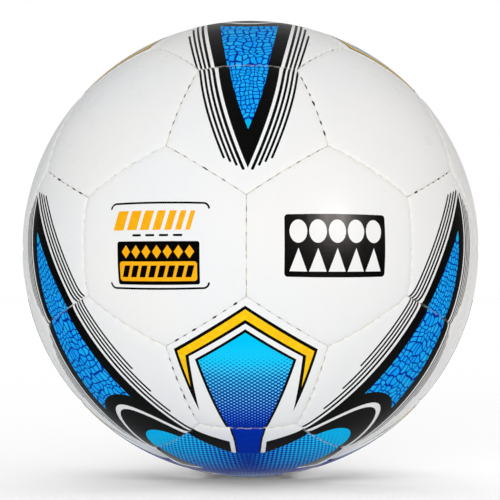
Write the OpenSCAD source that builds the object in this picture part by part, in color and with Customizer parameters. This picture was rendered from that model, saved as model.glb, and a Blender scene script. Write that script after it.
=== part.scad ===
// Hand-stitched indoor soccer ball of 32 panels: 12 pentagons and 20 hexagons.
//
// The origin is the ball's centre and +Z is up. X, Y and Z are three of the
// ball's two-fold axes, so each of them leaves the ball at the middle of a seam
// between two hexagons. The printed face of the ball looks along -Y.
//
// A pentagon's centre is a corner direction of an icosahedron, a hexagon's
// centre is a face direction, and every seam lies in a plane through the origin.

/* [Ball] */
// Girth of the inflated ball, measured around a great circle (mm)
ball_girth = 630; // [620:1:640]
// Number of facets in a full circle
facets = 120; // [48:12:240]

/* [Panels] */
// Thickness of the polyurethane cover (mm)
cover_t = 1.2; // [0.8:0.1:1.4]
// Thickness of the woven lining laminated behind the cover (mm)
lining_t = 1.2; // [0.6:0.1:1.2]
// Gap between the covers of two neighbouring panels at their seam (mm)
seam_gap = 0.1; // [0.06:0.02:0.3]
// Depth below the surface that the turned-in panel edges reach (mm)
flange_depth = 4.6; // [4.4:0.1:6]

/* [Stitching] */
// Number of stitches along each seam
stitches = 8; // [6:1:10]
// Depth of the stitch line below the surface (mm)
stitch_depth = 3.3; // [3.1:0.1:3.5]
// Diameter of the waxed thread (mm)
thread_d = 0.7; // [0.5:0.1:0.8]

/* [Bladder and valve] */
// Wall thickness of the rubber bladder (mm)
bladder_t = 0.9; // [0.6:0.1:1.5]
// Diameter of the valve stem where it shows in the panel (mm)
stem_d = 8.6; // [7:0.2:10]
// Length of the valve stem, from the surface inwards (mm)
stem_len = 15; // [12:0.5:18]
// Diameter of the soft plug pressed into the stem (mm)
plug_d = 5; // [4:0.2:6]
// Bore that an inflating needle goes through (mm)
needle_d = 2; // [1.6:0.1:2.4]
// Diameter of the valve's flange on the bladder (mm)
valve_flange_d = 26; // [20:1:32]
// Thickness of the valve's flange (mm)
valve_flange_t = 1.4; // [1:0.1:1.5]
// Diameter of the cloth patch around the valve hole (mm)
valve_patch_d = 36; // [34:1:44]
// Diameter of the rubber patch that balances the valve (mm)
balance_patch_d = 34; // [30:1:40]
// Thickness of the rubber patch that balances the valve (mm)
balance_patch_t = 1.5; // [1:0.1:1.9]

/* [Hidden] */
$fn = facets;
ball_r = ball_girth / (2 * PI);
lining_r = ball_r - cover_t;
pocket_r = lining_r - lining_t;
flange_r = ball_r - flange_depth;
stitch_r = ball_r - stitch_depth;
thread_r = thread_d / 2;
// The thread that crosses a seam pulls tighter than the thread along it
cross_thread_r = thread_r - 0.02;
stitch_hole_r = thread_r + 0.04;
stitch_hole_sides = 24;
// Distance from the seam's plane to the lining face that the thread lies on
thread_bed = seam_gap / 2 + cover_t + lining_t;
// Angle by which the thread runs on past the first and the last stitch
thread_overrun = 0.3;
// The outer stitches keep this many pitches from the seam's ends, so that the
// threads of two seams stay apart where they meet in a corner
end_margin = 0.65;
// Clearance around the valve stem in the cover, and around its plug
stem_clear = 0.2;
plug_clear = 0.02;
// The stem and its plug end a little below the ball's surface
stem_top = ball_r - 0.3;
plug_top = stem_top - 0.2;
plug_len = 10;
needle_bore_len = 7.5;
funnel_depth = 0.8;
funnel_r = needle_d / 2 + 0.6;
valve_patch_t = 0.5;

golden = (1 + sqrt(5)) / 2;
// Two icosahedron corners are neighbours when their dot product exceeds this
near_corner = 0.4;
// A hexagon's own three corners have a dot product with its centre above this
near_face = 0.7;
// Two directions are the same when their dot product exceeds this
same_dir = 0.99;

function unit(v) = v / norm(v);
function turns(v) = [v, [v[2], v[0], v[1]], [v[1], v[2], v[0]]];
SIGNS = [-1, 1];
pentagon_dirs = [for (a = SIGNS) for (b = SIGNS) for (v = turns([0, a * golden, b])) unit(v)];
hexagon_dirs = concat(
    [for (a = SIGNS) for (b = SIGNS) for (c = SIGNS) unit([a, b, c])],
    [for (a = SIGNS) for (b = SIGNS) for (v = turns([0, a / golden, b * golden])) unit(v)]
);
// The needle goes in at the middle of this hexagon, at the back of the ball
valve_dir = unit([-1 / golden, golden, 0]);
// The middle hexagons of the print, one at each end of the ball
print_pole = unit([0, 1 / golden, golden]);

// Pairs of panel corners that a seam runs between
function pentagon_seams(p) = [
    for (q = pentagon_dirs) for (r = pentagon_dirs)
        if (q * p > near_corner && q * p < same_dir && r * p > near_corner && r * p < same_dir
            && q * r > near_corner && cross(q, r) * p > 0 && q != r)
            [unit(2 * p + q), unit(2 * p + r)]
];
function face_corners(h) = [for (p = pentagon_dirs) if (p * h > near_face) p];
function pentagon_side(a, b, c) = [unit(2 * a + b), unit(2 * a + c)];
function hexagon_side(a, b) = [unit(2 * a + b), unit(a + 2 * b)];
function hexagon_seams(h) = let (f = face_corners(h)) [
    for (i = [0:2]) each let (a = f[i], b = f[(i + 1) % 3], c = f[(i + 2) % 3])
        [pentagon_side(a, b, c), hexagon_side(a, b)]
];
all_pentagon_seams = [for (p = pentagon_dirs) each pentagon_seams(p)];
all_hexagon_seams = [
    for (i = [0:11]) for (j = [i + 1:1:11])
        if (pentagon_dirs[i] * pentagon_dirs[j] > near_corner)
            hexagon_side(pentagon_dirs[i], pentagon_dirs[j])
];

function two_digits(i) = str(i < 10 ? "0" : "", i);
function pentagon_name(i) = str("pentagon_panel_", two_digits(i + 1));
function hexagon_name(i) = str("hexagon_panel_", two_digits(i + 1));

// Turns +Z to the direction v
module aim(v) {
    rotate([0, acos(v[2]), atan2(v[1], v[0])]) children();
}

// Plane normal of a seam that points away from the panel centre
function seam_normal(seam, centre) =
    let (n = unit(cross(seam[0], seam[1]))) n * centre > 0 ? -n : n;

// Solid sector of the ball under one panel, its sides moved in by an inset
module sector(centre, seams, r, inset) {
    reach = 2 * r;
    intersection() {
        sphere(r);
        intersection_for (s = seams)
            aim(seam_normal(s, centre))
                translate([-reach / 2, -reach / 2, -reach - inset])
                    cube(reach);
    }
}

// One layer of a panel: a curved face whose edges are turned inwards
module layer(centre, seams, r, inset, t) {
    difference() {
        sector(centre, seams, r, inset);
        sector(centre, seams, r - t, inset + t);
        sphere(flange_r);
    }
}

// Places children on a seam at each stitch: X up from the ball, Z across the seam
module at_stitches(seam) {
    mid = unit(seam[0] + seam[1]);
    across = unit(cross(seam[0], seam[1]));
    pitch = stitch_pitch(seam);
    multmatrix(seam_frame(mid, across))
        for (k = [0:stitches - 1])
            rotate([0, 0, pitch * (k - (stitches - 1) / 2)]) children();
}

// Angle at the ball's centre between two stitches of a seam
function stitch_pitch(seam) = acos(seam[0] * seam[1]) / (stitches - 1 + 2 * end_margin);

function seam_frame(mid, across) = let (along = cross(across, mid)) [
    [mid[0], along[0], across[0], 0],
    [mid[1], along[1], across[1], 0],
    [mid[2], along[2], across[2], 0],
    [0, 0, 0, 1]
];

module stitch_holes(seams) {
    hole_len = 2 * (thread_bed + thread_d);
    for (s = seams) at_stitches(s)
        translate([stitch_r, 0, 0])
            cylinder(h = hole_len, r = stitch_hole_r, center = true, $fn = stitch_hole_sides);
}

// Section of the thread along a seam: flat on the lining, its outer corners eased
module thread_section() {
    polygon([
        [-thread_r, 0], [thread_r, 0], [thread_r, thread_r], [thread_r / 2, thread_d],
        [-thread_r / 2, thread_d], [-thread_r, thread_r]
    ]);
}

// Thread of one seam: it runs along both sides and crosses at each stitch
module seam_thread(seam) {
    mid = unit(seam[0] + seam[1]);
    across = unit(cross(seam[0], seam[1]));
    span = stitch_pitch(seam) * (stitches - 1);
    multmatrix(seam_frame(mid, across))
        for (side = [0, 1])
            mirror([0, 0, side])
                rotate([0, 0, -span / 2 - thread_overrun])
                    rotate_extrude(angle = span + 2 * thread_overrun)
                        translate([stitch_r, thread_bed]) thread_section();
    at_stitches(seam)
        translate([stitch_r, 0, 0])
            cylinder(h = 2 * thread_bed + thread_d, r = cross_thread_r, center = true,
                $fn = stitch_hole_sides);
}

// A disc of the curved layer between two radii, around a direction
module curved_disc(v, r_out, t, d) {
    aim(v) intersection() {
        difference() {
            sphere(r_out);
            sphere(r_out - t);
        }
        cylinder(h = ball_r, d = d);
    }
}

module valve_hole(d) {
    aim(valve_dir) cylinder(h = ball_r + 1, d = d);
}

function is_pole(v) = abs(v * print_pole) > same_dir;
// The print's blades start at each pole: its length is on hexagons up to this angle
// from the pole, and the pentagons between the blades, up to this angle, carry shields
blade_angle = 45;
shield_angle = 60;
function pole_angle(v) = acos(min(1, abs(v * print_pole)));
function pentagon_color(p) = pole_angle(p) < shield_angle ? "royalblue" : "#16181c";
function hexagon_color(h) =
    is_pole(h) ? "#1446a8" : pole_angle(h) < blade_angle ? "deepskyblue" : "#f4f4f2";

module pentagon_panel(i) {
    p = pentagon_dirs[i];
    seams = pentagon_seams(p);
    color(pentagon_color(p)) difference() {
        layer(p, seams, ball_r, seam_gap / 2, cover_t);
        stitch_holes(seams);
    }
}

module hexagon_panel(i) {
    h = hexagon_dirs[i];
    seams = hexagon_seams(h);
    color(hexagon_color(h)) difference() {
        layer(h, seams, ball_r, seam_gap / 2, cover_t);
        stitch_holes(seams);
        if (h * valve_dir > same_dir) valve_hole(stem_d + 2 * stem_clear);
    }
}

module pentagon_linings() {
    color("#e8e4d8") for (p = pentagon_dirs) {
        seams = pentagon_seams(p);
        difference() {
            layer(p, seams, lining_r, seam_gap / 2 + cover_t, lining_t);
            stitch_holes(seams);
        }
    }
}

module hexagon_linings() {
    color("#e8e4d8") for (h = hexagon_dirs) {
        seams = hexagon_seams(h);
        difference() {
            layer(h, seams, lining_r, seam_gap / 2 + cover_t, lining_t);
            stitch_holes(seams);
            if (h * valve_dir > same_dir) valve_hole(stem_d + 2 * stem_clear);
        }
    }
}

module pentagon_seam_threads() {
    color("#f0ead8") for (s = all_pentagon_seams) seam_thread(s);
}

module hexagon_seam_threads() {
    color("#f0ead8") for (s = all_hexagon_seams) seam_thread(s);
}

module bladder() {
    color("#2a2a2a") difference() {
        sphere(flange_r);
        sphere(flange_r - bladder_t);
        valve_hole(stem_d);
    }
}

// Moulded rubber stem with the flange that is bonded to the bladder
module valve_stem() {
    color("#202224") {
        difference() {
            union() {
                aim(valve_dir) translate([0, 0, stem_top - stem_len])
                    cylinder(h = stem_len, d = stem_d);
                curved_disc(valve_dir, flange_r + valve_flange_t, valve_flange_t, valve_flange_d);
            }
            aim(valve_dir) translate([0, 0, plug_top - plug_len])
                cylinder(h = ball_r, d = plug_d + 2 * plug_clear);
        }
    }
}

// Soft plug that closes around the needle
module valve_plug() {
    color("#101114") aim(valve_dir) difference() {
        translate([0, 0, plug_top - plug_len]) cylinder(h = plug_len, d = plug_d);
        translate([0, 0, plug_top - funnel_depth - needle_bore_len])
            cylinder(h = plug_len, d = needle_d);
        translate([0, 0, plug_top - funnel_depth])
            cylinder(h = funnel_depth, r1 = needle_d / 2, r2 = funnel_r);
    }
}

module valve_patch() {
    color("#d8d4c8") difference() {
        curved_disc(valve_dir, pocket_r, valve_patch_t, valve_patch_d);
        valve_hole(stem_d + 2 * stem_clear);
    }
}

module balance_patch() {
    color("#2a2a2a") curved_disc(-valve_dir, pocket_r, balance_patch_t, balance_patch_d);
}

for (i = [0:11])
    pentagon_panel(i);
for (i = [0:19])
    hexagon_panel(i);
pentagon_linings();
hexagon_linings();
pentagon_seam_threads();
hexagon_seam_threads();
bladder();
valve_stem();
valve_plug();
valve_patch();
balance_patch();
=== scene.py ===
"""Looks of a hand-stitched indoor ball of 32 printed panels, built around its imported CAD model.

Panels are drawn flat, each in the plane that touches the ball at the panel's centre, and then
lifted onto the ball. Lengths are millimetres there and metres in every Blender mesh.
"""
import math

import bpy
import numpy as np
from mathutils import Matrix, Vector
from mathutils.geometry import delaunay_2d_cdt


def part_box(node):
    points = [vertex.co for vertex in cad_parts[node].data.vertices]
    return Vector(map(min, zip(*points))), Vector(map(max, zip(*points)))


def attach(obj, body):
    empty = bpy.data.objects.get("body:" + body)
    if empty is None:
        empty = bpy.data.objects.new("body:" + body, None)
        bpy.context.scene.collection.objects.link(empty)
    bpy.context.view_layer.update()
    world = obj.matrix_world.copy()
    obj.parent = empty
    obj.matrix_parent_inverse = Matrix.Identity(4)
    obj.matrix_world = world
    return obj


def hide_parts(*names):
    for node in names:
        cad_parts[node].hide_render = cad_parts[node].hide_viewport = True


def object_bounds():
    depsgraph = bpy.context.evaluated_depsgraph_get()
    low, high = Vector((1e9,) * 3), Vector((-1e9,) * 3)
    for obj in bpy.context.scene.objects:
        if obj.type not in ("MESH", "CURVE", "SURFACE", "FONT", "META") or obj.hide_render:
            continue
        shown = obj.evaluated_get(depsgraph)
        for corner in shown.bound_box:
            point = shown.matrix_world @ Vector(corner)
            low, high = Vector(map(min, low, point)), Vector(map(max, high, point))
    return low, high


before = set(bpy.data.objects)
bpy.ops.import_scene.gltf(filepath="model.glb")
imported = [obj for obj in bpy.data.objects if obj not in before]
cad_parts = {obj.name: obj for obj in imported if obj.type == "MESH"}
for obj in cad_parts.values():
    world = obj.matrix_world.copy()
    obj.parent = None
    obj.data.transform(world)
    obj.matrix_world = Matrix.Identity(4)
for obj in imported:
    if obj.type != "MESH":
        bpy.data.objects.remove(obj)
cad_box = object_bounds()

MM = 0.001
RADIUS = (cad_box[1][0] - cad_box[0][0]) / 2 / MM

# Panel edges: how they roll into the seam, and how the stitches pull them in
ROLL = 0.28
DIP = 0.36
DIP_REACH = 1.7
PUCKER = 0.28
PUCKER_REACH = 1.2
SEAM_HALF_GAP = 0.003
SLIT = 0.5
SLIT_REACH = 0.9
STITCHES = 8
END_MARGIN = 0.65
FLANGE_DEPTH = 4.3
SHEET = 1.0
# Rows of the turned-in edge: depth below the surface, and how far in from its outer side
FLANGE_ROWS = ((2.0, 0.0), (3.0, 0.0), (FLANGE_DEPTH, 0.0), (FLANGE_DEPTH, SHEET), (3.2, SHEET))

# How finely a panel is meshed
EDGE_ROWS = (0.0, 0.1, 0.3, 0.6, 1.0, 1.6)
EDGE_STEPS = 100
INNER_ROWS = (2.5, 3.8)
INNER_STEPS = 28
GRID = 3.0
GRID_ROW = GRID * 0.866
BACK_INSET = 4.0
CURVE_STEP = 1.5
SLOPE_STEP = 0.04
FAR = 99.0
NEAR = 1e-5

GOLDEN = (1 + math.sqrt(5)) / 2
RANDOM = np.random.default_rng(7)


def unit(v):
    v = np.asarray(v, float)
    return v / np.linalg.norm(v)


def turns(a, b, c):
    return [(a, b, c), (c, a, b), (b, c, a)]


SIGNS = (-1, 1)
PENTAGONS = [unit(t) for a in SIGNS for b in SIGNS for t in turns(0, a * GOLDEN, b)]
HEXAGONS = [unit((a, b, c)) for a in SIGNS for b in SIGNS for c in SIGNS]
HEXAGONS += [unit(t) for a in SIGNS for b in SIGNS for t in turns(0, a / GOLDEN, b * GOLDEN)]
CORNERS = [unit(2 * p + q) for p in PENTAGONS for q in PENTAGONS if 0.4 < p @ q < 0.9]
POLE = unit((0, 1 / GOLDEN, GOLDEN))
VALVE = unit((-1 / GOLDEN, GOLDEN, 0))
LEFT_LABEL = unit((-1 / GOLDEN, -GOLDEN, 0))
RIGHT_LABEL = unit((1 / GOLDEN, -GOLDEN, 0))


# ---------------------------------------------------------------- the ball's panels

class Panel:
    """One panel: its centre direction, its plane's axes and its sides."""

    def __init__(self, centre, sides, up):
        self.centre = centre
        self.up = unit(up - centre * (up @ centre))
        self.right = np.cross(self.up, centre)
        near = sorted(range(len(CORNERS)), key=lambda i: -(CORNERS[i] @ centre))[:sides]
        near.sort(key=lambda i: math.atan2(CORNERS[i] @ self.up, CORNERS[i] @ self.right))
        self.outline = np.array([self.flat(CORNERS[i]) for i in near])
        self.apothem = np.linalg.norm(self.outline[0] + self.outline[1]) / 2
        self.sides = [self.side(near[i], near[(i + 1) % sides]) for i in range(sides)]

    def flat(self, direction):
        reach = RADIUS / (direction @ self.centre)
        return (direction @ self.right * reach, direction @ self.up * reach)

    def side(self, first, second):
        """Outward normal of a seam's plane, its middle, its length direction and its stitches."""
        a, b = sorted((first, second))
        middle = unit(CORNERS[a] + CORNERS[b])
        across = unit(np.cross(CORNERS[a], CORNERS[b]))
        along = np.cross(across, middle)
        pitch = math.acos(CORNERS[a] @ CORNERS[b]) / (STITCHES - 1 + 2 * END_MARGIN)
        outward = across if across @ self.centre < 0 else -across
        return outward, middle, along, pitch, *seam_state(a, b)

    def rays(self, flat):
        """Directions from the ball's centre through points of the panel's plane."""
        rays = RADIUS * self.centre + flat[:, :1] * self.right + flat[:, 1:2] * self.up
        return rays / np.linalg.norm(rays, axis=1)[:, None]

    def lift(self, flat, depth=0.0):
        """Points of the outer face above flat points, then the distance to the nearest seam, how
        close that seam's next stitch is, and how soiled the seam is."""
        rays = self.rays(flat)
        roll = np.zeros(len(flat))
        drop = ripple(rays)
        nearest = np.full(len(flat), FAR)
        pull = np.zeros(len(flat))
        soil = np.zeros(len(flat))
        shift = np.zeros_like(rays)
        for outward, middle, along, pitch, slits, dirt in self.sides:
            distance = np.maximum(0.0, -RADIUS * (rays @ outward))
            stitch = np.arctan2(rays @ along, rays @ middle) / pitch + (STITCHES - 1) / 2
            pinch = np.cos(np.pi * stitch) ** 2
            edge = np.clip(ROLL - distance, 0, ROLL)
            roll += (ROLL - np.sqrt(ROLL ** 2 - edge ** 2)) ** 2
            drop = drop + DIP * np.exp(-distance / DIP_REACH)
            drop = drop + PUCKER * pinch * np.exp(-(distance / PUCKER_REACH) ** 2)
            gap = np.clip(np.floor(stitch).astype(int) + 1, 0, STITCHES)
            opening, middle_of, half = slits[gap].T
            off = (stitch - np.floor(stitch) - middle_of) / half
            wide = opening * SLIT * np.sqrt(np.clip(1 - off ** 2, 0, 1))
            fade = np.clip(1 - distance / SLIT_REACH, 0, 1) ** 2
            shift -= outward * ((SEAM_HALF_GAP + wide) * fade)[:, None]
            closer = distance < nearest
            nearest = np.where(closer, distance, nearest)
            pull = np.where(closer, pinch, pull)
            soil = np.where(closer, dirt, soil)
        height = RADIUS - np.sqrt(roll) - drop - depth
        return rays * height[:, None] + shift, nearest, pull, soil

    def normals(self, flat):
        """Normals of the outer face, from its slope towards the panel's centre and beside it."""
        length = np.linalg.norm(flat, axis=1)[:, None]
        inward = np.where(length > 0.5, -flat / np.maximum(length, 0.5), [[1.0, 0.0]])
        beside = np.stack([-inward[:, 1], inward[:, 0]], 1)
        here = self.lift(flat)[0]
        normal = np.cross(self.lift(flat + SLOPE_STEP * inward)[0] - here,
                          self.lift(flat + SLOPE_STEP * beside)[0] - here)
        normal /= np.linalg.norm(normal, axis=1)[:, None]
        return normal * np.sign(np.sum(normal * here, axis=1))[:, None]


SEAMS = {}
# Slackness of an ordinary seam, and how much its slits and its dirt vary
SLACKNESS = (0.05, 0.4)
OPENINGS = (0.25, 1.0)
END_OPENINGS = 0.15
SLIT_MIDDLES = (0.38, 0.62)
SLIT_HALVES = (0.14, 0.3)
DIRT = (0.25, 1.0)
# Seams with a slackness of their own, as the two panels' directions and how slack
SLACK_SEAMS = (
    ((0, -GOLDEN, 1), (1, -1, 1), 1.0),
    ((GOLDEN, -1, 0), (1, -1, 1), 0.85),
    ((0, -GOLDEN, -1), (-1, -1, -1), 0.9),
    ((0, -GOLDEN, -1), (-1 / GOLDEN, -GOLDEN, 0), 0.9),
    ((-GOLDEN, -1, 0), (-1, -1, 1), 0.9),
    ((0, -GOLDEN, 1), (-1, -1, 1), 0.6),
    ((0, -GOLDEN, 1), (-1 / GOLDEN, -GOLDEN, 0), 0.55),
    ((1 / GOLDEN, -GOLDEN, 0), (-1 / GOLDEN, -GOLDEN, 0), 0.22),
    ((0, -1 / GOLDEN, GOLDEN), (1, -1, 1), 0.5),
)


def seam_state(a, b):
    """A seam's slits between stitches and how soiled it is, as both its panels see it.

    Each slit is how far it opens, and its middle and half length within the gap it is in."""
    if (a, b) not in SEAMS:
        middle = unit(CORNERS[a] + CORNERS[b])
        slack = RANDOM.uniform(*SLACKNESS)
        for first, second, known in SLACK_SEAMS:
            if middle @ unit(unit(first) + unit(second)) > 0.99:
                slack = known
        count = STITCHES + 1
        openings = slack * RANDOM.uniform(*OPENINGS, count)
        openings[[0, -1]] *= END_OPENINGS
        middles = RANDOM.uniform(*SLIT_MIDDLES, count)
        halves = RANDOM.uniform(*SLIT_HALVES, count)
        SEAMS[a, b] = np.stack([openings, middles, halves], 1), RANDOM.uniform(*DIRT)
    return SEAMS[a, b]


RIPPLES = [(unit(RANDOM.normal(size=3)) * RANDOM.uniform(12, 45), RANDOM.uniform(0, 6.3))
           for _ in range(14)]
RIPPLE_HEIGHT = 0.006


def ripple(rays):
    """Slow unevenness of the inflated cover."""
    return RIPPLE_HEIGHT * sum(1 + np.sin(rays @ wave + phase) for wave, phase in RIPPLES)


# ---------------------------------------------------------------- flat drawing

def resample(points, closed=True, step=CURVE_STEP):
    """The same line with a point at least every step."""
    points = np.asarray(points, float)
    ends = np.roll(points, -1, axis=0) if closed else points[1:]
    line = []
    for a, b in zip(points, ends):
        count = max(1, math.ceil(np.linalg.norm(b - a) / step))
        line += [a + (b - a) * i / count for i in range(count)]
    if not closed:
        line.append(points[-1])
    return np.array(line)


def mirrored(right):
    """A closed outline from its right half, listed from the bottom to the top."""
    right = np.asarray(right, float)
    return np.concatenate([right, right[::-1] * (-1, 1)])


def arc(x, y, rx, ry, start, end, count=24):
    angles = np.radians(np.linspace(start, end, count))
    return np.stack([x + rx * np.cos(angles), y + ry * np.sin(angles)], 1)


def rounded_box(x, y, width, height, r):
    w, h = width / 2 - r, height / 2 - r
    return np.concatenate([arc(x + w, y + h, r, r, 0, 90, 6), arc(x - w, y + h, r, r, 90, 180, 6),
                           arc(x - w, y - h, r, r, 180, 270, 6), arc(x + w, y - h, r, r, 270, 360, 6)])


def stroke(path, width):
    """Outline of a line of one width with round ends."""
    path = np.asarray(path, float)
    along = np.gradient(path, axis=0)
    along /= np.linalg.norm(along, axis=1)[:, None]
    beside = np.stack([-along[:, 1], along[:, 0]], 1) * width / 2
    ahead = math.degrees(math.atan2(along[-1, 1], along[-1, 0]))
    behind = math.degrees(math.atan2(along[0, 1], along[0, 0]))
    r = width / 2
    head = arc(*path[-1], r, r, ahead - 90, ahead + 90, 7)[1:-1]
    foot = arc(*path[0], r, r, behind + 90, behind + 270, 7)[1:-1]
    return np.concatenate([path - beside, head, (path + beside)[::-1], foot])


def turned(points, degrees, shift=(0, 0)):
    c, s = math.cos(math.radians(degrees)), math.sin(math.radians(degrees))
    return np.asarray(points) @ np.array([[c, s], [-s, c]]) + shift


def inside(outline, points):
    """Which points lie in a closed outline."""
    found = np.zeros(len(points), bool)
    x, y = points[:, 0], points[:, 1]
    for (ax, ay), (bx, by) in zip(outline, np.roll(outline, -1, axis=0)):
        if ay != by:
            crosses = (ay > y) != (by > y)
            found ^= crosses & (x < (bx - ax) * (y - ay) / (by - ay) + ax)
    return found


# ---------------------------------------------------------------- prints
# A print is a list of (ink, outline), painted in order, in a plane whose +Y looks along the
# blade or the shield, away from the pole where the blades meet.

BLADE_TIP = 24.7
SNAKE_TIP = 7.0
TEARDROP = 3.7
PINSTRIPE_WIDTHS = (1.24, 1.04, 1.0, 0.98)
TIP_SIDE = 29.7
HEX_SIDE = 38.3
BLEED = 1.8


def blade_half(y):
    t = BLADE_TIP - y
    return 0.395 * t - 0.00275 * t ** 2


def snake_half(y):
    t = SNAKE_TIP - y
    return 0.37 * t - 0.0038 * t ** 2


def tip_print():
    """The end of a blade, on a pentagon."""
    base = -TIP_SIDE - BLEED
    shapes = []
    for half, low, tip, ink in ((blade_half, base, BLADE_TIP, "black"),
                                (snake_half, base, SNAKE_TIP, "fine_scales"),
                                (snake_half, SNAKE_TIP - TEARDROP - 1.8, SNAKE_TIP, "deep_blue")):
        y = np.linspace(low, tip, 30)
        shapes.append((ink, mirrored(np.stack([half(y), y], 1)[:-1].tolist() + [[0, tip]])))
    y = np.linspace(SNAKE_TIP - TEARDROP, SNAKE_TIP, 8)
    crown = arc(0, y[0], snake_half(y[0]), 1.3, -90, 0, 9)
    shapes.append(("cyan", mirrored(np.concatenate([crown, np.stack([snake_half(y), y], 1)[1:]]))))
    for offset, end, width in zip((2.02, 4.06, 6.02, 7.96), (25.0, 23.2, 21.5, 19.8), PINSTRIPE_WIDTHS):
        y = np.linspace(base, end, 34)
        flare = 1.3 * np.exp(-(y - base) / 2.4)
        for side in SIGNS:
            x = side * (blade_half(y) + offset + flare)
            shapes.append(("black", stroke(np.stack([x, y], 1), width)))
    return shapes


def band_half(y):
    u = HEX_SIDE - y
    return 14.75 + 0.104 * u - 0.00049 * u ** 2


def scales_half(y):
    u = HEX_SIDE - y
    return 9.0 + 0.108 * u - 0.0007 * u ** 2


def body_print():
    """The length of a blade, on the hexagon between its tip and the pole."""
    top, base = HEX_SIDE + BLEED, -HEX_SIDE - BLEED
    y = np.linspace(base, top, 48)
    shapes = [("black", mirrored(np.stack([band_half(y), y], 1)))]
    tail, notch = -6.9, -2.2
    half = scales_half(tail)
    r = (half ** 2 + (notch - tail) ** 2) / 2 / (notch - tail)
    spread = math.degrees(math.asin(half / r))
    y = np.linspace(tail, top, 26)
    right = np.stack([scales_half(y), y], 1)
    swallowtail = arc(0, notch - r, r, r, 90 + spread, 90 - spread, 20)
    shapes.append(("scales", np.concatenate([swallowtail[:-1], right, right[:0:-1] * (-1, 1)])))
    for ink, apex, rx, ry in (("white", -7.6, 20.8, 56), ("black", -10.3, 17.7, 44),
                              ("blade_dots", -25.0, 11.8, 16)):
        shapes.append((ink, arc(0, apex - ry, rx, ry, 0, 360, 96)))
    ends = (-36.4, -22.5, -10.0, 2.3)
    for offset, widen, end, width in zip((2.25, 4.25, 6.1, 8.0), (-0.005, 0, 0.004, 0.01), ends,
                                         PINSTRIPE_WIDTHS):
        y = np.linspace(top, end, 34)
        for side in SIGNS:
            x = side * (band_half(y) + offset + widen * (HEX_SIDE - y))
            shapes.append(("black", stroke(np.stack([x, y], 1), width)))
    return shapes


def mirrored_band(right):
    """A closed outline that crosses the middle twice, from its right half, inner edge first."""
    right = np.asarray(right, float)
    return np.concatenate([right, right[-2:0:-1] * (-1, 1)])


def shield_print():
    """The chevron and the shield, on a pentagon beside the pole."""
    return [
        ("black", mirrored_band([[0, 24.6], [23.5, 8.4], [19.8, -19.8], [30.3, 11.0], [0, 32.6]])),
        ("yellow", mirrored_band([[0, 26.3], [25.0, 8.7], [23.0, -6.6], [28.7, 10.3], [0, 31.0]])),
        ("black", mirrored([[7.9, -TIP_SIDE - BLEED], [20.8, 7.4], [0, 22.1]])),
        ("shield_dots", mirrored([[6.8, -TIP_SIDE - BLEED], [19.4, 7.0], [0, 20.6]])),
    ]


def pole_print():
    """Where three blades and three shields meet, on the pole's hexagon."""
    shapes = [("pole_dots", arc(0, 0, 60, 60, 0, 360, 24))]
    for angle in (0, 120, 240):
        sector = [
            ("white", mirrored([[7.1, 20.7], [7.9, 30.3], [30, 38.1], [30, 48]])),
            ("black", np.array([[7.1, 20.6], [32, 34.7], [30, 38.1], [7.9, 30.3]])),
            ("black", np.array([[-7.1, 20.6], [-32, 34.7], [-30, 38.1], [-7.9, 30.3]])),
            ("black", mirrored([[5.2, 20.7], [5.9, 29.3], [6.5, 33.8], [8.1, 40.6], [8.5, 44]])),
            ("deep_blue", mirrored([[4.4, 20.3], [5.1, 29.3], [5.6, 33.8], [7.2, 40.6], [7.6, 44]])),
        ]
        shapes += [(ink, turned(outline, angle)) for ink, outline in sector]
    return shapes


def bracket(y, side):
    """A line with both ends bent back towards the label."""
    r = 2.4
    half = 19.6
    left = arc(-half, y - side * r, r, side * r, 170, 90, 8)
    right = arc(half, y - side * r, r, side * r, 90, 10, 8)
    return stroke(resample(np.concatenate([left, right]), closed=False), 0.85)


def left_label_print():
    """Plain bars, dashes, lozenges and slanted bars between two brackets."""
    shapes = [("black", bracket(17.4, 1)), ("black", bracket(-17.4, -1))]
    lean = 2.2
    for x, width in zip((-15.6, -9.2, -3.4, 2.0, 6.9, 11.3, 15.3), (5.0, 4.5, 4.0, 3.5, 3.0, 2.5, 2.0)):
        left, right = x - width / 2, x + width / 2
        bar = [[left - lean, 6.3], [right - lean, 6.3], [right, 14.2], [left, 14.2]]
        shapes.append(("amber", np.array(bar)))
    for x in (-9.0, -3.0, 3.0, 9.0):
        shapes.append(("black", rounded_box(x, 4.2, 4.0, 0.9, 0.4)))
    shapes.append(("black", rounded_box(0, -7.0, 36.4, 17.6, 1.0)))
    for x in np.linspace(-14, 14, 7):
        shapes.append(("amber", np.array([[x - 2.0, -2.4], [x, -5.1], [x + 2.0, -2.4], [x, 0.3]])))
    shapes.append(("amber", rounded_box(0, -10.3, 34.2, 8.0, 1.2)))
    for x in np.linspace(-14, 14, 8):
        bar = [[x - 2.0, -12.7], [x + 0.6, -12.7], [x + 2.0, -7.9], [x - 0.6, -7.9]]
        shapes.append(("black", np.array(bar)))
    return shapes


def right_label_print():
    """A dark plate with a row of discs and a row of peaks."""
    shapes = [("black", rounded_box(0.4, 0, 44.4, 25.4, 1.4))]
    for x in np.linspace(-16.0, 16.8, 5):
        shapes.append(("white", arc(x, 5.8, 3.7, 4.7, 0, 360, 25)[:-1]))
        shapes.append(("white", np.array([[x - 3.7, -10.4], [x + 3.7, -10.4], [x, -0.9]])))
    return shapes


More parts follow.
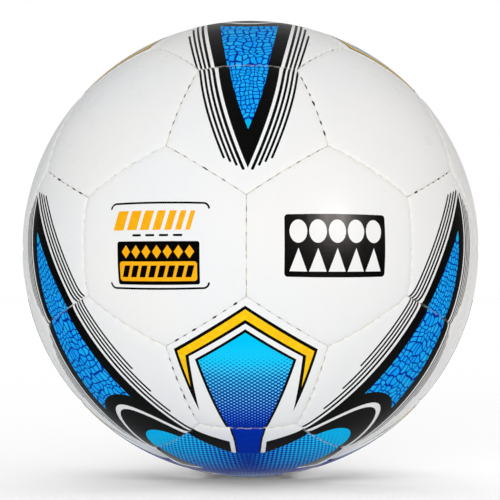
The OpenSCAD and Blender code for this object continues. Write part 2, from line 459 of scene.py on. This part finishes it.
def tone(kind, print_mm):
    """Where a halftone is between its deep blue, 0, and its cyan, 1.

    Shields shade along the shield and blades near their end. The rest is the pole's, which
    is darkest along its three blades; other panels have no halftone."""
    x, y = print_mm[:, 0], print_mm[:, 1]
    if kind == "shield":
        return np.clip((y + 31) / 52, 0, 1)
    if kind == "body":
        return np.clip((y + 39) / 12, 0, 1) * 0.28 + 0.66
    away = np.full(len(x), FAR)
    for angle in (90, 210, 330):
        c, s = math.cos(math.radians(angle)), math.sin(math.radians(angle))
        ahead = x * c + y * s
        aside = np.abs(y * c - x * s)
        away = np.minimum(away, np.where(ahead > 0, aside, np.hypot(x, y)))
    return 0.06 + 0.6 * (1 - np.exp(-np.maximum(away - 2, 0) / 11))


# ---------------------------------------------------------------- panel meshes

def triangulate(points, segments, keep):
    """Constrained triangles as (points, triangles, index of each input point)."""
    result = delaunay_2d_cdt([Vector(p) for p in points], segments, [], 0, NEAR)
    flat = np.array([tuple(v) for v in result[0]])
    triangles = np.array([f for f in result[2] if len(f) == 3])
    a, b, c = (flat[triangles[:, i]] for i in range(3))
    area = (b[:, 0] - a[:, 0]) * (c[:, 1] - a[:, 1]) - (b[:, 1] - a[:, 1]) * (c[:, 0] - a[:, 0])
    triangles[area < 0] = triangles[area < 0][:, ::-1]
    kept = (np.abs(area) > 1e-9) & keep((a + b + c) / 3)
    index = {}
    for new, olds in enumerate(result[3]):
        for old in olds:
            index[old] = new
    return flat, triangles[kept], index


def ring(outline, inset, apothem, steps):
    """Points along a regular outline that is moved in by an inset."""
    corners = outline * (1 - inset / apothem)
    ends = np.roll(corners, -1, axis=0)
    ways = np.arange(steps)[:, None]
    return np.concatenate([a + (b - a) * ways / steps for a, b in zip(corners, ends)])


def grid_points(outline, apothem, inset):
    """Points of a triangular grid that lie in an outline moved in by an inset."""
    reach = apothem * 1.3
    rows = np.arange(-reach, reach, GRID_ROW)
    columns = np.arange(-reach, reach, GRID)
    points = np.array([(x + GRID / 2 * (i % 2), y) for i, y in enumerate(rows) for x in columns])
    return points[inside(outline * (1 - inset / apothem), points)]


def loops(triangles):
    """Boundary loops of a triangulation, each in the triangles' own direction."""
    edges = np.concatenate([triangles[:, [0, 1]], triangles[:, [1, 2]], triangles[:, [2, 0]]])
    present = {tuple(e) for e in edges.tolist()}
    after = {a: b for a, b in present if (b, a) not in present}
    found = []
    while after:
        start, here = next(iter(after.items()))
        loop = [start]
        del after[start]
        while here != start:
            loop.append(here)
            here = after.pop(here)
        found.append(loop)
    return sorted(found, key=len, reverse=True)


def closed_line(start, count):
    """Segments that join count points, numbered from start, into a closed line."""
    return [(start + i, start + (i + 1) % count) for i in range(count)]


def flat_panel(panel, shapes, hole):
    """Triangles of a panel's outer face and the ink on each of them. A hole of 0 is none."""
    outline = panel.outline
    edge = ring(outline, 0, panel.apothem, EDGE_STEPS)
    points = [edge]
    points += [ring(outline, inset, panel.apothem, EDGE_STEPS) for inset in EDGE_ROWS[1:]]
    points += [ring(outline, inset, panel.apothem, INNER_STEPS) for inset in INNER_ROWS]
    points.append(grid_points(outline, panel.apothem, INNER_ROWS[-1] + 1.0))
    segments = closed_line(0, len(edge))
    count = sum(len(p) for p in points)
    curves = [resample(shape) for _, shape in shapes]
    if hole:
        curves.append(arc(0, 0, hole, hole, 0, 360, 49)[:-1])
    for curve in curves:
        segments += closed_line(count, len(curve))
        points.append(curve)
        count += len(curve)

    def keep(centres):
        kept = inside(edge, centres)
        return kept & (np.hypot(centres[:, 0], centres[:, 1]) > hole) if hole else kept

    flat, triangles, _ = triangulate(np.concatenate(points), segments, keep)
    used, triangles = np.unique(triangles, return_inverse=True)
    flat, triangles = flat[used], triangles.reshape(-1, 3)
    centres = flat[triangles].mean(axis=1)
    inks = np.full(len(triangles), "white", dtype=object)
    for ink, shape in shapes:
        inks[inside(shape, centres)] = ink
    return flat, triangles, inks


def strip(first, second):
    """Triangles between two loops of the same length."""
    faces = []
    for i in range(len(first)):
        j = (i + 1) % len(first)
        faces += [(first[i], second[i], second[j]), (first[i], second[j], first[j])]
    return faces


def turned_in_edge(panel, edge):
    """Rows of points that carry a face's edge down into the seam and back, and their normals."""
    lengths = np.linalg.norm(edge, axis=1)[:, None]
    aside = edge - (edge @ panel.centre)[:, None] * panel.centre
    aside /= np.linalg.norm(aside, axis=1)[:, None]
    rows = [edge / lengths * (RADIUS - depth) - aside * inward for depth, inward in FLANGE_ROWS]
    return rows, [-aside if inward else aside for _, inward in FLANGE_ROWS]


def inner_face(panel, rim, holes):
    """A panel's inner face, coarser than its printed one: as triangulate returns it, with the
    rim's points first and then the holes'."""
    inner = rim * (1 - (SHEET + 0.3) / panel.apothem)
    segments = []
    start = 0
    for line in (inner, *holes):
        segments += closed_line(start, len(line))
        start += len(line)

    def keep(centres):
        kept = inside(inner, centres)
        for hole in holes:
            kept &= ~inside(hole, centres)
        return kept

    grid = grid_points(panel.outline, panel.apothem, BACK_INSET)[::3]
    return triangulate(np.concatenate([inner, *holes, grid]), segments, keep)


def inked_mesh(name, places, faces, inks):
    """A smooth mesh, in metres. Its first faces carry the inks, and the others are bare edge."""
    mesh = bpy.data.meshes.new(name)
    mesh.from_pydata((places * MM).tolist(), [], faces.tolist())
    # The last slot is the bare edge, whose dark colour is partly painted shade in the seam slits.
    names = sorted(set(inks.tolist())) + ["edge"]
    for ink in names:
        mesh.materials.append(INKS[ink])
    slots = np.full(len(faces), len(names) - 1, np.int32)
    slots[:len(inks)] = [names.index(ink) for ink in inks]
    mesh.polygons.foreach_set("material_index", slots)
    mesh.polygons.foreach_set("use_smooth", np.ones(len(faces), bool))
    return mesh


def panel_object(name, panel, drawing, kind, placement):
    """A closed panel: printed face, turned-in edges and inner face."""
    flat, triangles, inks = drawing
    places, nearest, pull, soil = panel.lift(flat)
    rim, *hole_loops = loops(triangles)
    rows, row_normals = turned_in_edge(panel, places[rim])
    faces = [triangles]
    count = len(places)
    last = rim
    for row in rows:
        here = list(range(count, count + len(row)))
        faces.append(strip(last, here))
        last = here
        count += len(row)
    back, back_triangles, index = inner_face(panel, flat[rim], [flat[loop] for loop in hole_loops])
    faces.append(back_triangles[:, ::-1] + count)
    start = 0
    for loop in (last, *hole_loops):
        faces.append(strip(loop, [index[start + i] + count for i in range(len(loop))]))
        start += len(loop)
    points = np.concatenate([places, *rows, panel.lift(back, SHEET)[0]])
    normals = np.concatenate([panel.normals(flat), *row_normals, -panel.rays(back)])
    faces = np.concatenate([np.asarray(f).reshape(-1, 3) for f in faces])
    mesh = inked_mesh(name, points, faces, inks)
    print_mm = turned(flat - placement[:2], -placement[2])
    add_attribute(mesh, "print_mm", np.column_stack([print_mm, tone(kind, print_mm)]))
    add_attribute(mesh, "seam", np.column_stack([nearest, pull, soil]))
    mesh.normals_split_custom_set_from_vertices(normals.tolist())
    piece = bpy.data.objects.new(name, mesh)
    bpy.context.scene.collection.objects.link(piece)
    return piece


def add_attribute(mesh, name, values):
    """Values for the printed face's points, which come first; the other points get zeros."""
    attribute = mesh.attributes.new(name, "FLOAT_VECTOR", "POINT")
    full = np.zeros((len(mesh.vertices), 3), np.float32)
    full[:len(values)] = values
    attribute.data.foreach_set("vector", full.ravel())


# ---------------------------------------------------------------- materials

def colour(code):
    """Linear colour of a hexadecimal screen colour."""
    parts = [int(code[i:i + 2], 16) / 255 for i in (1, 3, 5)]
    return tuple(c / 12.92 if c <= 0.04045 else ((c + 0.055) / 1.055) ** 2.4 for c in parts) + (1.0,)


class Tree:
    """Short calls for building nodes."""

    def __init__(self, tree):
        self.tree = tree

    def add(self, kind, inputs=(), **settings):
        node = self.tree.nodes.new(kind)
        for key, value in settings.items():
            setattr(node, key, value)
        for key, value in dict(inputs).items():
            self.set(node.inputs[key], value)
        return node

    def set(self, socket, value):
        if isinstance(value, bpy.types.NodeSocket):
            self.tree.links.new(value, socket)
        else:
            socket.default_value = value

    def math(self, operation, a, b=0.0, c=0.0, clamp=False):
        node = self.add("ShaderNodeMath", {0: a, 1: b, 2: c}, operation=operation, use_clamp=clamp)
        return node.outputs[0]

    def vector(self, operation, a, b=(0.0, 0.0, 0.0)):
        return self.add("ShaderNodeVectorMath", {0: a, 1: b}, operation=operation).outputs[0]

    def scale(self, value, low, high, out_low=0.0, out_high=1.0):
        inputs = {"Value": value, "From Min": low, "From Max": high, "To Min": out_low,
                  "To Max": out_high}
        return self.add("ShaderNodeMapRange", inputs, interpolation_type="SMOOTHSTEP").outputs[0]

    def ramp(self, value, stops):
        node = self.add("ShaderNodeValToRGB", {"Fac": value})
        elements = node.color_ramp.elements
        while len(elements) < len(stops):
            elements.new(0.5)
        for element, (place, stop) in zip(elements, stops):
            element.position = place
            element.color = stop if isinstance(stop, tuple) else (stop, stop, stop, 1.0)
        return node.outputs[0]

    def mix(self, factor, a, b):
        node = self.add("ShaderNodeMix", data_type="RGBA")
        self.set(node.inputs[0], factor)
        self.set(node.inputs[6], a)
        self.set(node.inputs[7], b)
        return node.outputs[2]

    def noise(self, vector, scale, detail=2.0, roughness=0.5):
        inputs = {"Vector": vector, "Scale": scale, "Detail": detail, "Roughness": roughness}
        return self.add("ShaderNodeTexNoise", inputs).outputs[0]

    def attribute(self, name):
        return self.add("ShaderNodeAttribute", attribute_name=name).outputs["Vector"]

    def split(self, vector):
        return self.add("ShaderNodeSeparateXYZ", {0: vector}).outputs

    def place(self):
        return self.add("ShaderNodeTexCoord").outputs["Object"]

    def bump(self, height, strength, distance, normal=None):
        inputs = {"Height": height, "Strength": strength, "Distance": distance}
        if normal:
            inputs["Normal"] = normal
        return self.add("ShaderNodeBump", inputs).outputs[0]


class Nodes(Tree):
    """The nodes of one new material."""

    def __init__(self, name):
        self.material = bpy.data.materials.new(name)
        self.material.use_nodes = True
        super().__init__(self.material.node_tree)
        self.shader = self.tree.nodes["Principled BSDF"]

    def finish(self, **sockets):
        for key, value in sockets.items():
            self.set(self.shader.inputs[key.replace("_", " ")], value)
        return self.material


CREAM = colour("#FAF8EF")
DUST = colour("#A8A39B")
PU_ROUGHNESS = 0.3
BLUE_SHINE = 0.012


def coated_material(name, paint, wear=0.6, reach=0.6, roughness=PU_ROUGHNESS, shine=0.16):
    """Polyurethane with a fine grain. paint(nodes) gives its colour, and seams wear it pale."""
    nodes = Nodes(name)
    place = nodes.place()
    seam = nodes.split(nodes.attribute("seam"))
    fibres = nodes.noise(place, 900.0, 3.0, 0.6)
    near = nodes.scale(seam[0], reach, 0.1)
    rubbed = nodes.math("MULTIPLY", near, nodes.scale(fibres, 0.3, 0.6))
    rubbed = nodes.math("MULTIPLY", rubbed, nodes.scale(seam[1], 0.0, 0.8, 0.5, 1.0))
    rubbed = nodes.math("MULTIPLY", rubbed, seam[2])
    base = nodes.mix(nodes.math("MULTIPLY", rubbed, wear), paint(nodes), CREAM)
    dust = nodes.scale(fibres, 0.4, 0.6, 0.0, 0.45)
    dust = nodes.math("MULTIPLY", nodes.scale(seam[0], 0.6, 0.0), dust)
    base = nodes.mix(nodes.math("MULTIPLY", dust, seam[2]), base, DUST)
    grain = nodes.noise(place, 1500.0, 3.0, 0.55)
    creases = nodes.noise(place, 260.0, 2.0, 0.5)
    normal = nodes.bump(grain, 0.10, 0.00008)
    normal = nodes.bump(creases, 0.10, 0.0004, normal)
    gloss = nodes.scale(nodes.noise(place, 90.0, 2.0), 0.3, 0.7, roughness - 0.04, roughness + 0.06)
    gloss = nodes.math("ADD", gloss, nodes.math("MULTIPLY", near, 0.18))
    nodes.shader.inputs["Specular IOR Level"].default_value = shine
    return nodes.finish(Base_Color=base, Roughness=gloss, Normal=normal)


def white_paint(nodes):
    cloud = nodes.noise(nodes.place(), 22.0, 2.0)
    return nodes.mix(nodes.scale(cloud, 0.35, 0.65), colour("#F2F3F4"), colour("#F5F4F3"))


def speckled(dark, light):
    """Ink whose cover varies a little."""
    def paint(nodes):
        cover = nodes.noise(nodes.place(), 420.0, 4.0, 0.65)
        return nodes.mix(nodes.scale(cover, 0.35, 0.72), colour(dark), colour(light))
    return paint


def scales(width, height, wobble):
    """Bright scales with deep blue between them, in slightly wavy rows."""
    def paint(nodes):
        cells = nodes.vector("DIVIDE", nodes.attribute("print_mm"), (width, height, 1.0))
        flat = nodes.vector("MULTIPLY", cells, (1.0, 1.0, 0.0))
        noise = nodes.add("ShaderNodeTexNoise", {"Vector": flat, "Scale": 0.3, "Detail": 1.0})
        sway = nodes.vector("SUBTRACT", noise.outputs["Color"], (0.5, 0.5, 0.5))
        flat = nodes.vector("ADD", flat, nodes.vector("MULTIPLY", sway, (wobble, wobble * 1.4, 0.0)))
        inputs = {"Vector": flat, "Scale": 1.0, "Randomness": 0.5}
        edge = nodes.add("ShaderNodeTexVoronoi", inputs, feature="DISTANCE_TO_EDGE",
                         voronoi_dimensions="2D").outputs[0]
        cell = nodes.add("ShaderNodeTexVoronoi", inputs, voronoi_dimensions="2D").outputs
        bright = nodes.mix(nodes.split(cell["Color"])[0], colour("#04A4FF"), colour("#1CBCFF"))
        corners = nodes.scale(cell["Distance"], 0.72, 0.58)
        scale = nodes.math("MULTIPLY", nodes.scale(edge, 0.06, 0.17), corners)
        return nodes.mix(scale, colour("#0028A0"), bright)
    return paint


def halftone(pitch, axes, limits, grounds, lights):
    """Light ink that turns to dark through a lattice of dots, each way along the nearest axis.

    limits says how much is dark at each shade. grounds and lights are the dark and light inks."""
    def paint(nodes):
        x, y, shade = nodes.split(nodes.attribute("print_mm"))
        lattices = []
        for degrees in axes:
            c, s = math.cos(math.radians(degrees)), math.sin(math.radians(degrees))
            along = nodes.math("MULTIPLY_ADD", x, c, nodes.math("MULTIPLY", y, s))
            aside = nodes.math("MULTIPLY_ADD", x, s, nodes.math("MULTIPLY", y, -c))
            waves = [nodes.math("COSINE", nodes.math("MULTIPLY", way, 2 * math.pi / p))
                     for way, p in zip((aside, along), pitch)]
            lattices.append((along, nodes.math("MULTIPLY", *waves)))
        farthest, lattice = lattices[0]
        for along, other in lattices[1:]:
            chosen = nodes.math("GREATER_THAN", along, farthest)
            change = nodes.math("SUBTRACT", other, lattice)
            lattice = nodes.math("MULTIPLY_ADD", chosen, change, lattice)
            farthest = nodes.math("MAXIMUM", along, farthest)
        limit = nodes.math("MULTIPLY_ADD", nodes.ramp(shade, limits), 2.3, -1.15)
        above = nodes.math("SUBTRACT", lattice, limit)
        dots = nodes.math("MULTIPLY_ADD", above, 3.2, 0.5, clamp=True)
        inks = [nodes.ramp(shade, [(place, colour(code)) for place, code in stops])
                for stops in (grounds, lights)]
        return nodes.mix(dots, *inks)
    return paint


SHIELD_DOTS = halftone(
    (2.42, 1.75), (90,),
    [(0.02, 1.0), (0.06, 0.87), (0.14, 0.74), (0.25, 0.67), (0.42, 0.64), (0.6, 0.56), (0.7, 0.4),
     (0.86, 0.0)],
    [(0.05, "#002AA0"), (0.25, "#002E9C"), (0.42, "#003A98"), (0.58, "#005CA8"), (0.7, "#0086C8"),
     (0.82, "#00BCF0"), (0.92, "#00C8FC")],
    [(0.05, "#3468CC"), (0.2, "#5C9CF8"), (0.36, "#74CEFF"), (0.55, "#58D4FF"), (0.72, "#1CD0FF"),
     (0.92, "#00CAFE")])
BLADE_LIMITS = [(0.06, 0.76), (0.16, 0.6), (0.4, 0.55), (0.5, 0.52), (0.62, 0.47), (0.8, 0.3),
                (0.94, 0.0)]
BLADE_GROUNDS = [(0.06, "#003CA2"), (0.16, "#003498"), (0.4, "#003A9C"), (0.5, "#0044A6"),
                 (0.62, "#0060BE"), (0.8, "#009CE8"), (0.94, "#00BCFC")]
BLADE_LIGHTS = [(0.06, "#2270CA"), (0.16, "#2484DC"), (0.4, "#2EB0FC"), (0.5, "#2EC0FF"),
                (0.62, "#26CCFF"), (0.8, "#0CC8FF"), (0.94, "#00C0FF")]
BLADE_DOTS = halftone((3.2, 2.74), (90,), BLADE_LIMITS, BLADE_GROUNDS, BLADE_LIGHTS)
POLE_DOTS = halftone((3.18, 2.31), (30, 150, 270), BLADE_LIMITS, BLADE_GROUNDS, BLADE_LIGHTS)


def edge_and_slit_shade_material():
    """The turned-in edge and the back of a panel, where the coating's fabric shows. Its dark grey-brown
    is also painted shade: on the turned-in edge it makes the slits between the stitches read dark.
    """
    nodes = Nodes("cover_edge_slit_shade")
    place = nodes.place()
    fibres = nodes.noise(place, 1100.0, 4.0, 0.7)
    tint = nodes.mix(nodes.scale(fibres, 0.35, 0.7), colour("#2E2A25"), colour("#6B6357"))
    return nodes.finish(Base_Color=tint, Roughness=0.9, Normal=nodes.bump(fibres, 0.4, 0.0002))


INKS = {
    # The turned-in edges get painted shade here, which darkens the slits between the stitches.
    "edge": edge_and_slit_shade_material(),
    "white": coated_material("cover_white", white_paint, wear=1.0, reach=1.5, shine=0.07),
    "black": coated_material("ink_black", speckled("#020202", "#060606"), wear=0.7, roughness=0.27,
                             shine=0.12),
    "yellow": coated_material("ink_yellow", speckled("#FFC400", "#FFD60A")),
    "amber": coated_material("ink_amber", speckled("#FFAE00", "#FFBC10")),
    "fine_scales": coated_material("ink_fine_scales", scales(1.9, 2.3, 1.6), shine=BLUE_SHINE),
    "scales": coated_material("ink_scales", scales(3.0, 3.2, 2.0), shine=BLUE_SHINE),
    "shield_dots": coated_material("ink_shield_dots", SHIELD_DOTS, shine=BLUE_SHINE),
    "blade_dots": coated_material("ink_blade_dots", BLADE_DOTS, shine=BLUE_SHINE),
    "pole_dots": coated_material("ink_pole_dots", POLE_DOTS, shine=BLUE_SHINE),
    "cyan": coated_material("ink_cyan", speckled("#00B4F2", "#00C0FA"), shine=BLUE_SHINE),
    "deep_blue": coated_material("ink_deep_blue", speckled("#002EA4", "#0034AC"), shine=BLUE_SHINE),
}


def woven_material(name, base, thread_scale):
    """Plain weave for the hidden cloth."""
    nodes = Nodes(name)
    place = nodes.place()
    waves = []
    for direction in ("X", "Z"):
        inputs = {"Vector": place, "Scale": thread_scale, "Distortion": 0.6, "Detail": 1.0}
        wave = nodes.add("ShaderNodeTexWave", inputs, wave_type="BANDS", bands_direction=direction)
        waves.append(wave.outputs["Fac"])
    weave = nodes.math("MULTIPLY", *waves)
    tint = nodes.mix(nodes.scale(weave, 0.1, 0.9), colour(base[0]), colour(base[1]))
    return nodes.finish(Base_Color=tint, Roughness=0.85, Normal=nodes.bump(weave, 0.4, 0.0002))


def rubber_material(name, dark, light, roughness):
    """Moulded rubber with a dusty bloom."""
    nodes = Nodes(name)
    place = nodes.place()
    bloom = nodes.noise(place, 260.0, 5.0, 0.6)
    tint = nodes.mix(nodes.scale(bloom, 0.4, 0.75), colour(dark), colour(light))
    gloss = nodes.scale(bloom, 0.3, 0.7, roughness - 0.08, roughness + 0.12)
    return nodes.finish(Base_Color=tint, Roughness=gloss,
                        Normal=nodes.bump(nodes.noise(place, 1800.0, 2.0), 0.15, 0.0001))


def thread_material():
    """Waxed thread with its twist."""
    nodes = Nodes("waxed_thread")
    place = nodes.place()
    inputs = {"Vector": place, "Scale": 700.0, "Distortion": 1.5, "Detail": 2.0}
    twist = nodes.add("ShaderNodeTexWave", inputs, bands_direction="DIAGONAL").outputs["Fac"]
    tint = nodes.mix(twist, colour("#C9BEA2"), colour("#F4EEDC"))
    return nodes.finish(Base_Color=tint, Roughness=0.5, Normal=nodes.bump(twist, 0.5, 0.0002))


# ---------------------------------------------------------------- building the ball

def kind_of(direction, sides):
    """Which print a panel carries."""
    angle = math.degrees(math.acos(min(1.0, abs(direction @ POLE))))
    if sides == 5:
        return "shield" if angle < 60 else "tip"
    for name, place in (("valve", VALVE), ("left_label", LEFT_LABEL), ("right_label", RIGHT_LABEL)):
        if direction @ place > 0.99:
            return name
    return "pole" if angle < 5 else "body" if angle < 45 else "plain"


def up_of(direction, kind):
    """The direction in a panel that its print stands up in."""
    if kind in ("shield", "tip", "body"):
        return direction - max((POLE, -POLE), key=lambda p: p @ direction)
    if kind in ("pole", "plain"):
        return max(PENTAGONS, key=lambda p: p @ direction - 0.01 * p[1])
    return np.array([0.0, 0.0, 1.0])


# Where the prints in view sit on their panels: the panel's direction, then shift right, shift up
# and turn. No panel is cut alike.
PLACEMENTS = (
    ((0, -GOLDEN, 1), (-0.55, 0, 0)),
    ((-GOLDEN, -1, 0), (-5.0, 1.5, 3.0)),
    ((GOLDEN, -1, 0), (2.6, 1.2, -0.8)),
    ((-1, -1, -1), (-5.2, -1.3, 0)),
    ((1, -1, -1), (3.1, -0.7, 0)),
    ((0, -GOLDEN, -1), (-0.5, 0, 0)),
    ((0, -1 / GOLDEN, -GOLDEN), (0, -2.3, 0)),
    ((0, -1 / GOLDEN, GOLDEN), (0, 0, 0)),
)
OTHER_PLACEMENT = (0.4, 0.3, 0.5)
CENTRED = (0, 0, 0)


def register(direction, kind):
    """Shift right, shift up and turn of the print on one panel."""
    for place, placement in PLACEMENTS:
        if direction @ unit(place) > 0.99:
            return placement
    return OTHER_PLACEMENT if kind in ("tip", "body", "shield") else CENTRED


PRINTS = {"tip": tip_print, "body": body_print, "shield": shield_print, "pole": pole_print,
          "left_label": left_label_print, "right_label": right_label_print}
VALVE_HOLE = 4.5


def build_panels():
    """Each panel's CAD node is replaced by a printed panel in the same place."""
    drawings = {}
    for node in sorted(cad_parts):
        if "_panel_" not in node:
            continue
        low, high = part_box(node)
        middle = unit(low + high)
        sides = 5 if node.startswith("pentagon") else 6
        direction = max(PENTAGONS if sides == 5 else HEXAGONS, key=lambda d: d @ middle)
        kind = kind_of(direction, sides)
        panel = Panel(direction, sides, up_of(direction, kind))
        placement = register(direction, kind)
        key = (kind, placement)
        if key not in drawings:
            shapes = PRINTS[kind]() if kind in PRINTS else []
            shapes = [(ink, turned(shape, placement[2], placement[:2])) for ink, shape in shapes]
            drawings[key] = flat_panel(panel, shapes, VALVE_HOLE if kind == "valve" else 0)
        piece = panel_object(node.replace("_panel_", "_cover_"), panel, drawings[key], kind, placement)
        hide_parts(node)
        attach(piece, "root")


def dress_nodes():
    """The other CAD nodes keep their shapes and get their own materials."""
    lining = woven_material("lining_cloth", ("#CFC8B4", "#EEE8D8"), 420.0)
    looks = {
        "pentagon_linings": lining, "hexagon_linings": lining, "valve_patch": lining,
        "pentagon_seam_threads": thread_material(), "hexagon_seam_threads": thread_material(),
        "bladder": rubber_material("bladder_rubber", "#141416", "#26262A", 0.55),
        "balance_patch": rubber_material("patch_rubber", "#18181A", "#2C2C30", 0.6),
        "valve_stem": rubber_material("valve_rubber", "#0C0C0E", "#1A1A1E", 0.5),
        "valve_plug": rubber_material("plug_rubber", "#08080A", "#161618", 0.42),
    }
    for node, material in looks.items():
        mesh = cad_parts[node].data
        mesh.materials.clear()
        mesh.materials.append(material)


# ---------------------------------------------------------------- camera, floor and light

CAMERA_DISTANCE = 9.02
CAMERA_AZIMUTH = 0.967
CAMERA_ELEVATION = -0.784
CAMERA_TARGET = (-0.00023, 0.0, -0.0005)
FIELD_PX = 2045.8
FRAME_PX = 500
SENSOR = 36.0
FLOOR_RADIUS = 7.0
FLOOR_GLOW = 0.06
KEY_PLACE, KEY_SIZE, KEY_POWER = (-0.3, -2.0, -0.05), 1.6, 27.0
SHEEN_PLACE, SHEEN_SIZE, SHEEN_POWER = (1.35, -1.5, 0.47), 0.5, 36.0


def add_camera():
    data = bpy.data.cameras.new("camera")
    data.sensor_width = SENSOR
    data.lens = FIELD_PX / FRAME_PX * SENSOR
    data.clip_start = 0.05
    camera = bpy.data.objects.new("camera", data)
    azimuth, elevation = math.radians(CAMERA_AZIMUTH), math.radians(CAMERA_ELEVATION)
    away = Vector((math.sin(azimuth) * math.cos(elevation), -math.cos(azimuth) * math.cos(elevation),
                   math.sin(elevation)))
    camera.location = away * CAMERA_DISTANCE * RADIUS * MM
    ahead = Vector(CAMERA_TARGET) - camera.location
    camera.rotation_euler = ahead.to_track_quat("-Z", "Y").to_euler()
    bpy.context.scene.collection.objects.link(camera)
    bpy.context.scene.camera = camera


def add_floor():
    """A floor that shows only the ball's shadow, glows faintly and isn't in the ball's gloss."""
    bpy.ops.mesh.primitive_circle_add(vertices=96, radius=FLOOR_RADIUS, fill_type="NGON",
                                      location=(0, 0, -RADIUS * MM))
    floor = bpy.context.object
    floor.name = "floor"
    nodes = Nodes("floor_paint")
    cloud = nodes.noise(nodes.place(), 3.0, 2.0)
    tint = nodes.mix(nodes.scale(cloud, 0.3, 0.7), colour("#FBFBFB"), colour("#FFFFFF"))
    nodes.shader.inputs["Emission Color"].default_value = (1.0, 0.94, 0.88, 1)
    nodes.shader.inputs["Emission Strength"].default_value = FLOOR_GLOW
    nodes.finish(Base_Color=tint, Roughness=0.9)
    floor.data.materials.append(nodes.material)
    floor.is_shadow_catcher = True
    floor.visible_glossy = False


def add_light(name, place, size, power, tint=(1.0, 1.0, 1.0), mirrored_only=False):
    """A square light that faces the ball. It lights the ball or shows in its gloss, not both."""
    data = bpy.data.lights.new(name, "AREA")
    data.size = size
    data.energy = power
    data.color = tint
    light = bpy.data.objects.new(name, data)
    light.location = place
    light.rotation_euler = (-Vector(place)).to_track_quat("-Z", "Y").to_euler()
    bpy.context.scene.collection.objects.link(light)
    light.visible_glossy = mirrored_only
    light.visible_diffuse = not mirrored_only


COOL_TO_WARM = (0.85, 0.0, 0.25)
COOL_SIDE = (0.43, 0.465, 0.49, 1)
WARM_SIDE = (0.81, 0.785, 0.76, 1)
# How bright the room is in the ball's gloss: at its dim sides, above and below, and behind
MIRRORED_SIDES = 0.12
MIRRORED_ENDS = 0.5
MIRRORED_BACK = 0.5
MIRRORED_BACK_FLOOR = 2.0


def room_colour(nodes, way):
    """Cool light from one side that turns warm towards the other."""
    slope = nodes.add("ShaderNodeVectorMath", {0: way, 1: COOL_TO_WARM}, operation="DOT_PRODUCT")
    side = nodes.add("ShaderNodeMapRange", {"Value": slope.outputs["Value"], "From Min": -1.0})
    return nodes.mix(side.outputs[0], COOL_SIDE, WARM_SIDE)


def mirrored_strength(nodes, way):
    """How bright the room is in the gloss, each way from the ball."""
    _, back, height = nodes.split(way)
    ends = nodes.scale(nodes.math("ABSOLUTE", height), 0.25, 0.8, MIRRORED_SIDES, MIRRORED_ENDS)
    behind = nodes.scale(height, -0.3, 0.3, MIRRORED_BACK_FLOOR, MIRRORED_BACK)
    return nodes.math("MULTIPLY_ADD", nodes.scale(back, 0.7, 1.0), behind, ends)


def add_world():
    """White all round to look at, a softer white to be lit by, and a dimmer room in the gloss."""
    world = bpy.data.worlds.new("studio")
    bpy.context.scene.world = world
    world.use_nodes = True
    nodes = Tree(world.node_tree)
    way = nodes.add("ShaderNodeTexCoord").outputs["Generated"]
    ray = nodes.add("ShaderNodeLightPath").outputs
    gloss = nodes.math("SUBTRACT", mirrored_strength(nodes, way), 1.0)
    strength = nodes.math("MULTIPLY_ADD", gloss, ray["Is Glossy Ray"], 1.0)
    lit = nodes.add("ShaderNodeBackground", {"Color": room_colour(nodes, way), "Strength": strength})
    seen = nodes.tree.nodes["Background"]
    seen.inputs["Color"].default_value = (1, 1, 1, 1)
    inputs = {0: ray["Is Camera Ray"], 1: lit.outputs[0], 2: seen.outputs[0]}
    mix = nodes.add("ShaderNodeMixShader", inputs)
    nodes.set(nodes.tree.nodes["World Output"].inputs["Surface"], mix.outputs[0])
    bpy.context.scene.view_settings.view_transform = "Standard"


add_camera()
build_panels()
dress_nodes()
add_floor()
add_world()
add_light("key", KEY_PLACE, KEY_SIZE, KEY_POWER)
add_light("sheen", SHEEN_PLACE, SHEEN_SIZE, SHEEN_POWER, (1.0, 0.9, 0.86), mirrored_only=True)
